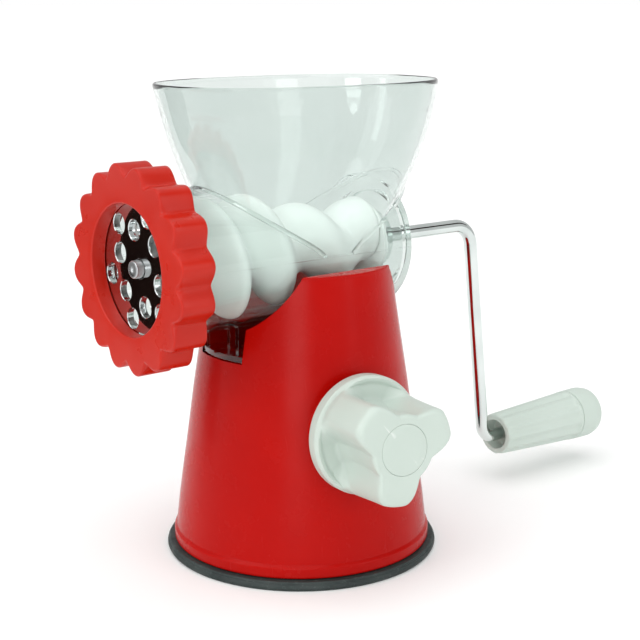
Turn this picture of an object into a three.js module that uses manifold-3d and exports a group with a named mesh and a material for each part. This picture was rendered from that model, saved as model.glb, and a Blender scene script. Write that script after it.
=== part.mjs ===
// Hand crank meat grinder with a clear hopper, a screw-on outlet ring, and a suction base.
// Millimetres, +Z up. Origin: centre of the base's underside. The outlet faces -Y and the crank +Y;
// the knob that works the suction pad is on the +X side.
import * as THREE from "three";
import { mergeVertices } from "three/addons/utils/BufferGeometryUtils.js";
import Module from "manifold-3d";

const wasm = await Module();
wasm.setup();

// ---------------------------------------------------------------- driving dimensions
const GAP = 0.3; // running or fitting clearance between neighbouring pieces

// base shell: radius of the outer surface against height
const BASE_FOOT_R = 62.4;
const BASE_BOTTOM = 4.6;
const BASE_TOP = 140;
const BASE_WALL = 2.6;
const BASE_CONE = [
  [12, 61.1],
  [20, 60.2],
  [40, 57.5],
  [60, 54.6],
  [80, 51.8],
  [100, 48.7],
  [120, 45.6],
  [136.6, 43.3],
];
const PAD_R = 66; // rubber pad, widest radius

// feed barrel and its seat in the base
const AXIS_Z = 146.3; // height of the barrel, auger and crank axis
const BARREL_R = 32.5;
const BARREL_BORE = 29.4;
const BARREL_REAR = 42;
const REAR_WALL = 38;
const MOUTH = -87.5; // front end of the barrel
const SADDLE_R = 35; // round seat in the base
const SLOT_HALF = 16; // half width of the slot under the seat
const SLOT_FLOOR = 99.5;
const REAR_FLANGE_R = 26.5;
const REAR_FLANGE_Y = 46.5;
const HUB_BORE = 10.35;

// hopper: height, half length along Y, half width along X, centre in Y
const HOPPER = [
  [146.3, 37.5, 32.7, -3],
  [152, 40.5, 32.9, -2.8],
  [159, 45.5, 33.5, -2.2],
  [166, 49.3, 34.6, -1.5],
  [176, 54.6, 36.4, -0.5],
  [188, 60.6, 38.8, 0.3],
  [200, 65.3, 41.2, 0.5],
  [212, 68.4, 43.6, 0.3],
  [224.3, 70.7, 46.1, -0.5],
];
const HOPPER_POWER = 2.5; // exponent of the rounded oval
const HOPPER_WALL = 2.6;

// outlet: ring nut, plate and blade
const NUT_FRONT = -95.7;
const NUT_BACK = -79;
const NUT_LIP = -88.6; // inside face of the front lip
const NUT_OPENING_R = 29.2;
const NUT_BORE_R = 36.4;
const NUT_TIP_R = 46.5;
const NUT_VALLEY_R = 42.2;
const NUT_LOBES = 16;
const NUT_PHASE = 8.75; // degrees
const THREAD_CORE_R = 34.4;
const THREAD_LEAD = 7;
const THREAD_RIDGE_R = 1.4;
const PLATE_FRONT = -88.3;
const PLATE_T = 3.5;
const PLATE_R = 31;
const PLATE_HOLE_R = 4.7;
const PLATE_RINGS = [
  [17, 6, -17],
  [24.3, 6, 13],
];
const PLATE_BORE_R = 4.4;
const BLADE_R = 27.5;
const BLADE_FRONT = -84.5;
const BLADE_BACK = -80.1;
const PIN_R = 4;
const PIN_SQUARE = 8;
const PIN_TIP = -92;

// auger: the crest radius falls from the barrel to the hopper, and the pitch grows from front to back
const AUGER_FRONT = -79.7;
const AUGER_BACK = 35.6;
const AUGER_R = [28.2, 21.4];
const AUGER_TAPER = [-34, -4]; // the crest falls between these
const AUGER_CORE_R = 10.5;
const AUGER_TURNS = [-0.1945, 0.02931, -0.0001136]; // turns = c0 + c1 y + c2 y^2
const AUGER_HUB_R = 10;
const AUGER_HUB_END = 45;

// crank, all in the plane X = 0
const ROD_R = 3.4;
const CRANK_KNEE_Y = 110.9;
const CRANK_ELBOW = [125.3, 27]; // Y, Z
const CRANK_END_Y = 204;
const GRIP_Y = [134.5, 192.7];
const GRIP_CAP_Y = [193, 212];
const GRIP_R = [11.3, 14];
const GRIP_FLUTES = 12;

// knob axis: through the base's vertical axis at this height, turned and tilted a little
const KNOB_Z = 67;
const KNOB_TURN = (-8.6 * Math.PI) / 180;
const KNOB_TILT = (3 * Math.PI) / 180;
const KNOB_BACK = 56.3;
const KNOB_R = 27.4;
const KNOB_FACE = 92.2;
const KNOB_TIP_R = 26.2;
const KNOB_VALLEY_R = 13.9;
const KNOB_PHASE = 20; // degrees
const KNOB_LOBE = [12, 43]; // degrees from a lobe's middle: full radius up to the first, valley from the second
const SHAFT_R = 4;
const CAM_R = 6;
const CAM_THROW = 2.5;

// ---------------------------------------------------------------- helpers
function solid(geometry, matrix) {
  let g = geometry.index ? geometry.toNonIndexed() : geometry.clone();
  g = new THREE.BufferGeometry().setAttribute("position", g.getAttribute("position"));
  if (matrix) g.applyMatrix4(matrix);
  g = mergeVertices(g, 1e-4);
  const tri = [];
  const ix = g.index.array;
  for (let i = 0; i < ix.length; i += 3)
    if (ix[i] !== ix[i + 1] && ix[i + 1] !== ix[i + 2] && ix[i] !== ix[i + 2])
      tri.push(ix[i], ix[i + 1], ix[i + 2]);
  const p = g.attributes.position.array;
  let volume = 0;
  for (let i = 0; i < tri.length; i += 3) {
    const a = new THREE.Vector3().fromArray(p, tri[i] * 3);
    const b = new THREE.Vector3().fromArray(p, tri[i + 1] * 3);
    const c = new THREE.Vector3().fromArray(p, tri[i + 2] * 3);
    volume += a.dot(b.cross(c));
  }
  if (volume < 0) for (let i = 0; i < tri.length; i += 3) [tri[i + 1], tri[i + 2]] = [tri[i + 2], tri[i + 1]];
  return new wasm.Manifold(
    new wasm.Mesh({ numProp: 3, vertProperties: new Float32Array(p), triVerts: new Uint32Array(tri) }),
  );
}
const M = (...t) => new THREE.Matrix4().makeTranslation(...t);
const toZ = new THREE.Matrix4().makeRotationX(Math.PI / 2); // lathe axis Y becomes Z
const pts = (list) => list.map(([x, y]) => new THREE.Vector2(Math.max(x, 0), y));
const latheZ = (list, seg = 48, x = 0, y = 0) =>
  solid(new THREE.LatheGeometry(pts(list), seg), M(x, y, 0).multiply(toZ));
// profile of [radius, y] turned about the barrel axis, or about another axis parallel to Y
const latheY = (list, seg = 48, z = AXIS_Z) => solid(new THREE.LatheGeometry(pts(list), seg), M(0, 0, z));
const rod = (r, a, b) => [
  [0, a],
  [r, a],
  [r, b],
  [0, b],
];
const tubeProfile = (r0, r1, a, b) => [
  [r0, a],
  [r1, a],
  [r1, b],
  [r0, b],
  [r0, a],
];
const box = (x0, x1, y0, y1, z0, z1) =>
  solid(new THREE.BoxGeometry(x1 - x0, y1 - y0, z1 - z0), M((x0 + x1) / 2, (y0 + y1) / 2, (z0 + z1) / 2));
// outline in X and Z, extruded along Y from y0 to y1 (y0 < y1)
const plateY = (shape, y0, y1, z = 0) =>
  solid(
    new THREE.ExtrudeGeometry(shape, { depth: y1 - y0, bevelEnabled: false, curveSegments: 12 }),
    M(0, y1, z).multiply(toZ),
  );
const shapeOf = (list) => new THREE.Shape(list.map(([x, y]) => new THREE.Vector2(x, y)));
// knob frame: local Z runs out along the knob axis, local Y is up, local X is across
const axisDir = new THREE.Vector3(
  Math.cos(KNOB_TURN) * Math.cos(KNOB_TILT),
  Math.sin(KNOB_TURN) * Math.cos(KNOB_TILT),
  Math.sin(KNOB_TILT),
);
const acrossDir = new THREE.Vector3(-Math.sin(KNOB_TURN), Math.cos(KNOB_TURN), 0);
const knobFrame = new THREE.Matrix4()
  .makeBasis(acrossDir, new THREE.Vector3().crossVectors(axisDir, acrossDir), axisDir)
  .setPosition(0, 0, KNOB_Z);
const latheK = (list, seg = 40, u = 0, v = 0) =>
  solid(new THREE.LatheGeometry(pts(list), seg), knobFrame.clone().multiply(M(u, v, 0)).multiply(toZ));
const plateK = (shape, s0, s1, options = {}) =>
  solid(
    new THREE.ExtrudeGeometry(shape, { depth: s1 - s0, bevelEnabled: false, curveSegments: 8, ...options }),
    knobFrame.clone().multiply(M(0, 0, s0)),
  );
const square = (side) => shapeOf([[-side / 2, -side / 2], [side / 2, -side / 2], [side / 2, side / 2], [-side / 2, side / 2]]);
class Helix extends THREE.Curve {
  constructor(r, lead, y0, y1, phase = 0, vertical = false) {
    super();
    Object.assign(this, { r, lead, y0, y1, phase, vertical });
  }
  getPoint(t, target = new THREE.Vector3()) {
    const y = this.y0 + (this.y1 - this.y0) * t;
    const a = (2 * Math.PI * (y - this.y0)) / this.lead + this.phase;
    return this.vertical
      ? target.set(this.r * Math.cos(a), this.r * Math.sin(a), y)
      : target.set(this.r * Math.cos(a), y, AXIS_Z + this.r * Math.sin(a));
  }
}
// a path through stated points, swept with a mitred section at each of them
class Route extends THREE.Curve {
  constructor(points) {
    super();
    this.points = points;
  }
  getPoint(t, target = new THREE.Vector3()) {
    const f = t * (this.points.length - 1),
      k = Math.min(Math.floor(f), this.points.length - 2);
    return target.lerpVectors(this.points[k], this.points[k + 1], f - k);
  }
  getSpacedPoints() {
    return this.points.map((q) => q.clone());
  }
  getTangentAt(u, target = new THREE.Vector3()) {
    const k = Math.round(u * (this.points.length - 1));
    const a = this.points[Math.max(k - 1, 0)],
      b = this.points[k],
      c = this.points[Math.min(k + 1, this.points.length - 1)];
    const d = new THREE.Vector3();
    if (k > 0) d.add(b.clone().sub(a).normalize());
    if (k < this.points.length - 1) d.add(c.clone().sub(b).normalize());
    return target.copy(d.normalize());
  }
}
const ridge = (curve, r, steps, sides = 6) => {
  const s = shapeOf([...Array(sides).keys()].map((k) => [r * Math.cos((2 * Math.PI * k) / sides), r * Math.sin((2 * Math.PI * k) / sides)]));
  return solid(new THREE.ExtrudeGeometry(s, { steps, extrudePath: curve, bevelEnabled: false }));
};

const root = new THREE.Group();
const headGroup = new THREE.Group();
const crankGroup = new THREE.Group();
const baseGroup = new THREE.Group();
root.add(baseGroup, headGroup, crankGroup);
const finish = {
  red: { color: 0xc4200f, roughness: 0.28, metalness: 0 },
  ringRed: { color: 0xd8392a, roughness: 0.38, metalness: 0 },
  white: { color: 0xd3ded7, roughness: 0.4, metalness: 0 },
  clear: { color: 0xdce6e0, roughness: 0.06, metalness: 0, transparent: true, opacity: 0.35 },
  steel: { color: 0xb8bdbd, roughness: 0.25, metalness: 1 },
  mirror: { color: 0xd8dcdc, roughness: 0.06, metalness: 1 },
  chrome: { color: 0xd4dad8, roughness: 0.08, metalness: 1 },
  rubber: { color: 0x1a2625, roughness: 0.7, metalness: 0 },
  black: { color: 0x26292a, roughness: 0.5, metalness: 0 },
  acetal: { color: 0xe8e6dc, roughness: 0.35, metalness: 0 },
};
function add(parent, name, body, look) {
  const m = body.getMesh();
  const g = new THREE.BufferGeometry()
    .setAttribute("position", new THREE.BufferAttribute(new Float32Array(m.vertProperties), 3))
    .setIndex(new THREE.BufferAttribute(new Uint32Array(m.triVerts), 1));
  g.computeVertexNormals();
  const mesh = new THREE.Mesh(g, new THREE.MeshStandardMaterial(finish[look]));
  mesh.name = name;
  parent.add(mesh);
}

// ---------------------------------------------------------------- base shell
{
  const outer = latheZ(
    [
      [0, BASE_BOTTOM],
      [61.4, BASE_BOTTOM],
      [BASE_FOOT_R, 5.4],
      [BASE_FOOT_R, 9],
      [61.9, 10.6],
      [61.1, 11.4],
      ...[0, 1, 3, 5, 7].map((k) => [BASE_CONE[k][1], BASE_CONE[k][0]]),
      [42.6, 138.8],
      [41.2, 139.7],
      [39.6, BASE_TOP],
      [0, BASE_TOP],
    ],
    48,
  );
  const hollowCone = latheZ(
    [
      [0, 3],
      [59.4, 3],
      [59.4, 11],
      [BASE_CONE[3][1] - BASE_WALL, BASE_CONE[3][0]],
      [40.8, 136.4],
      [0, 136.4],
    ],
    40,
  );
  // outline of the seat: a slot with a floor, opening into a round saddle
  const seat = (grow, top) => {
    const R = SADDLE_R + grow,
      w = SLOT_HALF + grow;
    const a0 = -Math.acos(w / R),
      a1 = Math.asin((BASE_TOP - AXIS_Z) / SADDLE_R);
    const right = [[w, SLOT_FLOOR - grow]];
    for (let i = 0; i <= 6; i++) {
      const a = a0 + ((a1 - a0) * i) / 6;
      right.push([R * Math.cos(a), AXIS_Z + R * Math.sin(a)]);
    }
    right.push([R * Math.cos(a1), top]);
    return shapeOf([...right, ...right.map(([x, z]) => [-x, z]).reverse()]);
  };
  const hollow = hollowCone.subtract(plateY(seat(BASE_WALL, 150), -80, 80));
  let shell = outer.subtract(hollow);
  // round flat boss under the knob, the bearing boss behind it, and the blind bearing on the far wall
  const knobBoss = latheK(rod(23, 40, KNOB_BACK - 0.5), 28).intersect(
    latheZ([[0, 10], [70, 10], [70, 120], [0, 120]], 24),
  );
  const outside = knobBoss.subtract(hollowCone);
  shell = shell.add(outside).add(latheK(rod(10, 43.5, 53), 16)).add(latheK(rod(8, -50.5, -41), 14));
  // bosses for the four screws
  for (let k = 0; k < 4; k++) {
    const a = Math.PI / 4 + (k * Math.PI) / 2;
    shell = shell.add(latheZ(rod(4.6, 9, 38), 10, 53 * Math.cos(a), 53 * Math.sin(a)));
  }
  // rails above the foot of the head, and the stop behind it
  shell = shell
    .add(box(13.3, 16.4, -41, 40, 103, 105.8))
    .add(box(-16.4, -13.3, -41, 40, 103, 105.8))
    .add(box(-16.3, 16.3, 32.2, 36, SLOT_FLOOR - 0.5, 103));
  shell = shell.subtract(plateY(seat(0, 160), -80, 80).subtract(
    box(13.3, 17, -41, 40, 103, 105.8)).subtract(box(-17, -13.3, -41, 40, 103, 105.8)).subtract(box(-17, 17, 32.2, 36, SLOT_FLOOR - 1, 103)));
  shell = shell.subtract(latheK(rod(6.5, 42, 60), 16)).subtract(latheK(rod(SHAFT_R + 0.45, -48, -30), 14));
  for (let k = 0; k < 4; k++) {
    const a = Math.PI / 4 + (k * Math.PI) / 2;
    shell = shell.subtract(latheZ(rod(2.3, 5, 25), 8, 53 * Math.cos(a), 53 * Math.sin(a)));
  }
  add(baseGroup, "base_housing", shell, "red");
}

// inner frame: flat ring, a raised hat over the pressure disc, and a guide for the pull rod
{
  let f = latheZ(
    [
      [41, 5.2],
      [58.9, 5.2],
      [58.9, 7.7],
      [44, 7.7],
      [43, 33],
      [10, 33],
      [9.8, 42],
      [6.9, 42],
      [6.9, 30.2],
      [40.2, 30.2],
      [41, 5.2],
    ],
    32,
  );
  for (let k = 0; k < 4; k++) {
    const a = Math.PI / 4 + (k * Math.PI) / 2;
    f = f.subtract(latheZ(rod(2.3, 4, 9), 8, 53 * Math.cos(a), 53 * Math.sin(a)));
  }
  add(baseGroup, "bottom_frame", f, "black");
}
for (let k = 0; k < 4; k++) {
  const a = Math.PI / 4 + (k * Math.PI) / 2;
  add(
    baseGroup,
    "base_screw_" + (k + 1),
    latheZ(
      [
        [0, 2.9],
        [3, 2.9],
        [3.7, 3.6],
        [3.7, 4.9],
        [1.9, 4.9],
        [1.9, 21],
        [0, 23.5],
      ],
      8,
      53 * Math.cos(a),
      53 * Math.sin(a),
    ),
    "steel",
  );
}
// rubber pad: flat underside, thin membrane, thicker rim that the shell stands on
add(
  baseGroup,
  "suction_pad",
  latheZ(
    [
      [0, 0],
      [64.8, 0],
      [PAD_R, 1.4],
      [65, 3.6],
      [63.6, 4.3],
      [59.6, 4.3],
      [58.4, 2.1],
      [0, 2.1],
    ],
    36,
  ),
  "rubber",
);
add(
  baseGroup,
  "pressure_disc",
  latheZ(
    [
      [4.3, 2.5],
      [35, 2.5],
      [36, 3.2],
      [36, 4.6],
      [34.5, 5.5],
      [7, 5.5],
      [7, 9.3],
      [4.3, 9.3],
      [4.3, 2.5],
    ],
    18,
  ),
  "black",
);
// pull rod: spigot in the disc, guided stem, and a flat eye round the cam
{
  let p = latheZ(
    [
      [0, 2.9],
      [4, 2.9],
      [4, 9.6],
      [6.5, 9.6],
      [6.5, 50],
      [0, 50],
    ],
    20,
  );
  const turn = new THREE.Matrix4().makeRotationZ(KNOB_TURN);
  p = p.add(solid(new THREE.BoxGeometry(7, 29, 36), turn.clone().multiply(M(0, 0, 49 + 17.5))));
  const slot = shapeOf(
    [...Array(25).keys()].map((k) => {
      const a = (2 * Math.PI * k) / 24;
      return [Math.cos(a) * 6.9 + (Math.cos(a) >= 0 ? 2.3 : -2.3), Math.sin(a) * 6.95];
    }).slice(0, 24),
  );
  const cut = solid(
    new THREE.ExtrudeGeometry(slot, { depth: 20, bevelEnabled: false }),
    knobFrame.clone().multiply(M(0, -CAM_THROW, -10)),
  );
  add(baseGroup, "pull_rod", p.subtract(cut), "acetal");
}
add(baseGroup, "return_spring", ridge(new Helix(8.9, 4.4, 7, 28.8, 0, true), 1.05, 60, 5), "steel");

// cam shaft, its bush, clip, and the knob with its screw and cap
{
  const shaft = latheK(rod(SHAFT_R, -47.6, 60), 20)
    .add(latheK(rod(CAM_R, -3.2, 3.2), 24, 0, -CAM_THROW))
    .add(plateK(square(5.6), 59, 77))
    .subtract(latheK(rod(1.9, 66, 80), 8));
  add(baseGroup, "cam_shaft", shaft, "steel");
  add(baseGroup, "shaft_bush", latheK(tubeProfile(SHAFT_R + 0.3, 6.2, 43.9, 55.4), 20), "acetal");
  add(
    baseGroup,
    "shaft_clip",
    latheK(tubeProfile(SHAFT_R + 0.3, 7.4, 42, 43), 20).subtract(plateK(shapeOf([[-2, -9], [2, -9], [2, -1], [-2, -1]]), 41, 44)),
    "steel",
  );
  const lobed = (tip, valley, n = 36) =>
    shapeOf(
      [...Array(n).keys()].map((k) => {
        const a = (2 * Math.PI * k) / n;
        const off = Math.abs(((((a * 180) / Math.PI - KNOB_PHASE) % 120) + 180) % 120 - 60);
        const r = tip + (valley - tip) * THREE.MathUtils.smoothstep(off, KNOB_LOBE[0], KNOB_LOBE[1]);
        return [r * Math.cos(a), r * Math.sin(a)];
      }),
    );
  let knob = latheK(
    [
      [0, KNOB_BACK],
      [26.6, KNOB_BACK],
      [KNOB_R, KNOB_BACK + 0.8],
      [KNOB_R, 62],
      [26.4, 63.8],
      [24, 65.2],
      [0, 66.4],
    ],
    36,
  ).add(plateK(lobed(KNOB_TIP_R - 2.4, KNOB_VALLEY_R - 2.2), 62, KNOB_FACE - 2.2, {
      bevelEnabled: true,
      bevelThickness: 2.2,
      bevelSize: 2.2,
      bevelSegments: 1,
    }));
  knob = knob
    .subtract(latheK(tubeProfile(9.5, 24.6, KNOB_BACK - 1, 60.5), 16))
    .subtract(plateK(square(6.2), 54, 77.4))
    .subtract(latheK(rod(SHAFT_R + 0.4, 54, 60.4), 20))
    .subtract(latheK(rod(2.1, 70, 90), 12))
    .subtract(latheK(rod(5, 80, 95), 16))
    .subtract(latheK(rod(11.8, 90, 95), 24));
  add(baseGroup, "knob", knob, "white");
  add(
    baseGroup,
    "knob_screw",
    latheK(
      [
        [0, 66.6],
        [1.6, 66.6],
        [1.6, 80.4],
        [4, 80.4],
        [4, 82],
        [3, 83],
        [0, 83],
      ],
      12,
    ),
    "steel",
  );
  add(
    baseGroup,
    "knob_cap",
    latheK(
      [
        [0, 90.3],
        [11.4, 90.3],
        [11.4, 91.9],
        [11, 92.3],
        [0, 92.5],
      ],
      24,
    ),
    "white",
  );
}

// ---------------------------------------------------------------- head: clear hopper and barrel in one piece
{
  // the rounded oval is made by moving the vertices of a turned profile
  const oval = (inset, z0, z1) => {
    const n = 36;
    const rows = HOPPER.filter(([z], k) => z >= z0 - 1e-6 && z <= z1 + 1e-6 && (inset === 0 || k % 2 === 0)).map((r) => [...r]);
    const at = (z) => {
      let k = 0;
      while (k < HOPPER.length - 2 && HOPPER[k + 1][0] < z) k++;
      const a = HOPPER[k],
        b = HOPPER[k + 1],
        t = (z - a[0]) / (b[0] - a[0]);
      return [z, ...[1, 2, 3].map((i) => a[i] + (b[i] - a[i]) * t)];
    };
    if (rows[0][0] > z0 + 1e-6) rows.unshift(at(z0));
    if (rows[rows.length - 1][0] < z1 - 1e-6) rows.push(at(z1));
    const heights = rows.map((r) => r[0]);
    const profile = [[0, heights[0]], ...heights.map((z) => [1, z]), [0, heights[heights.length - 1]]];
    const g = new THREE.LatheGeometry(pts(profile), n);
    const p = g.getAttribute("position");
    for (let i = 0; i < p.count; i++) {
      const x = p.getX(i),
        y = p.getY(i),
        z = p.getZ(i);
      const row = rows.find((r) => Math.abs(r[0] - y) < 1e-3);
      const e = 2 / HOPPER_POWER;
      const f = (v) => Math.sign(v) * Math.pow(Math.abs(v), e);
      const r = Math.hypot(x, z);
      if (r < 0.5) p.setXYZ(i, 0, row[3], y);
      else p.setXYZ(i, f(x / r) * (row[2] - inset), row[3] + f(z / r) * (row[1] - inset), y);
    }
    return solid(g);
  };
  let head = oval(0, 146.3, 224.3).add(latheY(rod(BARREL_R, -79.4, BARREL_REAR), 40));
  head = head
    .add(latheY(rod(THREAD_CORE_R, MOUTH, -78.9), 40))
    .add(ridge(new Helix(THREAD_CORE_R, -THREAD_LEAD, -85.8, -80.6), THREAD_RIDGE_R, 22))
    .add(latheY(rod(REAR_FLANGE_R, 40, REAR_FLANGE_Y), 32));
  // foot: two webs and a flange that slides under the rails
  const foot = box(-15.6, 15.6, -47, 31.8, 99.9, 102.6).intersect(latheZ(rod(47.9, 90, 110), 48));
  head = head
    .add(foot)
    .add(box(10.4, 12.9, -45.5, 31.8, 102, 119))
    .add(box(-12.9, -10.4, -45.5, 31.8, 102, 119))
    .add(box(-1.2, 1.2, -42, 31.8, 102, 116));
  // hollow
  const keepRear = latheY(rod(BARREL_R, REAR_WALL, 60), 40);
  const inside = oval(HOPPER_WALL, 147, 224.3).add(
    (() => {
      const lid = oval(HOPPER_WALL, 220, 224.3);
      return lid.translate([0, 0, 2.4]);
    })(),
  );
  head = head
    .subtract(inside.subtract(keepRear))
    .subtract(latheY(rod(BARREL_BORE, -86, REAR_WALL), 36))
    .subtract(latheY(rod(PLATE_R + 0.35, MOUTH - 3, PLATE_FRONT + PLATE_T + 0.3), 40))
    .subtract(latheY(rod(HUB_BORE, 30, 60), 24))
    .subtract(latheY(tubeProfile(14, 23.6, 43.6, 60), 32));
  // key for the plate, at the foot of the mouth
  head = head.add(box(-2, 2, -87.2, -84.5, AXIS_Z - 32.4, AXIS_Z - 29.2));
  add(headGroup, "hopper_barrel", head, "clear");
}
// ring nut: lobed ring with an inward lip and a round thread ridge
{
  const n = NUT_LOBES * 5;
  const outline = (grow) =>
    shapeOf(
      [...Array(n).keys()].map((k) => {
        const a = (2 * Math.PI * k) / n;
        const c = 0.5 + 0.5 * Math.cos(NUT_LOBES * (a - (NUT_PHASE * Math.PI) / 180));
        const r = NUT_VALLEY_R + (NUT_TIP_R - NUT_VALLEY_R) * Math.pow(c, 0.75) + grow;
        return [r * Math.cos(a), r * Math.sin(a)];
      }),
    );
  let nut = solid(
    new THREE.ExtrudeGeometry(outline(-1), {
      depth: NUT_BACK - NUT_FRONT - 2,
      bevelEnabled: true,
      bevelThickness: 1,
      bevelSize: 1,
      bevelSegments: 1,
    }),
    M(0, NUT_BACK - 1, AXIS_Z).multiply(toZ),
  );
  nut = nut
    .subtract(latheY(rod(NUT_OPENING_R, NUT_FRONT - 3, NUT_BACK + 3), 40))
    .subtract(latheY(rod(NUT_BORE_R, NUT_LIP, NUT_BACK + 3), 40))
    .add(
      ridge(new Helix(NUT_BORE_R + 0.2, -THREAD_LEAD, -86.9, -81, (2 * Math.PI * (-86.9 + 85.8)) / -THREAD_LEAD + Math.PI), THREAD_RIDGE_R, 22)
        .intersect(latheY(tubeProfile(33, NUT_BORE_R + 1, NUT_LIP - 1, NUT_BACK - 0.5), 40)),
    );
  add(headGroup, "ring_nut", nut, "ringRed");
}
// perforated plate with its key notch
{
  let p = latheY(tubeProfile(PLATE_BORE_R, PLATE_R, PLATE_FRONT, PLATE_FRONT + PLATE_T), 40);
  for (const [r, count, phase] of PLATE_RINGS)
    for (let k = 0; k < count; k++) {
      const a = ((phase + (360 / count) * k) * Math.PI) / 180;
      p = p.subtract(
        solid(
          new THREE.CylinderGeometry(PLATE_HOLE_R, PLATE_HOLE_R, 10, 10),
          M(r * Math.cos(a), PLATE_FRONT + 1.5, AXIS_Z + r * Math.sin(a)),
        ),
      );
    }
  p = p.subtract(box(-2.4, 2.4, -92, -80, AXIS_Z - 33, AXIS_Z - 28.8));
  add(headGroup, "grinding_plate", p, "mirror");
}
add(headGroup, "thrust_washer", latheY(tubeProfile(10.5, 19, 36, 37.6), 24), "acetal");

// ---------------------------------------------------------------- crank assembly
{
  // four-armed blade
  const arm = [];
  for (let k = 0; k < 4; k++) {
    const a = (k * Math.PI) / 2 + 0.35;
    for (const [r, t] of [
      [8.5, -0.5],
      [16, -0.28],
      [BLADE_R - 0.8, -0.2],
      [BLADE_R, -0.02],
      [BLADE_R - 1, 0.06],
      [14, 0.12],
      [9, 0.4],
    ])
      arm.push([r * Math.cos(a + t), r * Math.sin(a + t)]);
  }
  const blade = plateY(shapeOf(arm), BLADE_FRONT, BLADE_BACK, AXIS_Z).subtract(
    plateY(square(8.6), -90, -70, AXIS_Z),
  );
  add(crankGroup, "cross_blade", blade, "steel");
}
{
  // auger: a turned profile whose radius swells along a right-hand helix
  const n = 20,
    rows = 34;
  const profile = [[0, AUGER_FRONT]];
  for (let i = 0; i <= rows; i++) profile.push([1, AUGER_FRONT + ((AUGER_BACK - AUGER_FRONT) * i) / rows]);
  profile.push([0, AUGER_BACK]);
  const g = new THREE.LatheGeometry(pts(profile), n);
  const p = g.getAttribute("position");
  for (let i = 0; i < p.count; i++) {
    const x = p.getX(i),
      y = p.getY(i),
      z = p.getZ(i);
    if (Math.hypot(x, z) < 0.5) continue;
    const f = (y - AUGER_FRONT) / (AUGER_BACK - AUGER_FRONT);
    const g = THREE.MathUtils.smoothstep(y, AUGER_TAPER[0], AUGER_TAPER[1]);
    const crest = AUGER_R[0] + (AUGER_R[1] - AUGER_R[0]) * g;
    const turns = AUGER_TURNS[0] + AUGER_TURNS[1] * y + AUGER_TURNS[2] * y * y;
    const a = Math.atan2(z, x) + 2 * Math.PI * turns;
    const core = AUGER_CORE_R + 3 * (1 - f);
    const r = core + (crest - core) * Math.pow(0.5 + 0.5 * Math.cos(a), 0.8);
    const h = Math.hypot(x, z);
    p.setXYZ(i, (x / h) * r, y, (z / h) * r);
  }
  let auger = solid(g, M(0, 0, AXIS_Z)).add(latheY(rod(AUGER_HUB_R, 30, AUGER_HUB_END), 22));
  auger = auger
    .subtract(plateY(square(8.6), -85, -67.8, AXIS_Z))
    .subtract(latheY(rod(3.8, 1, 50), 14).intersect(box(-2.95, 2.95, 0, 50, AXIS_Z - 6, AXIS_Z + 6)));
  auger = auger.subtract(latheY(rod(3.8, 22, 50), 14));
  add(crankGroup, "auger", auger, "white");
}
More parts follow.
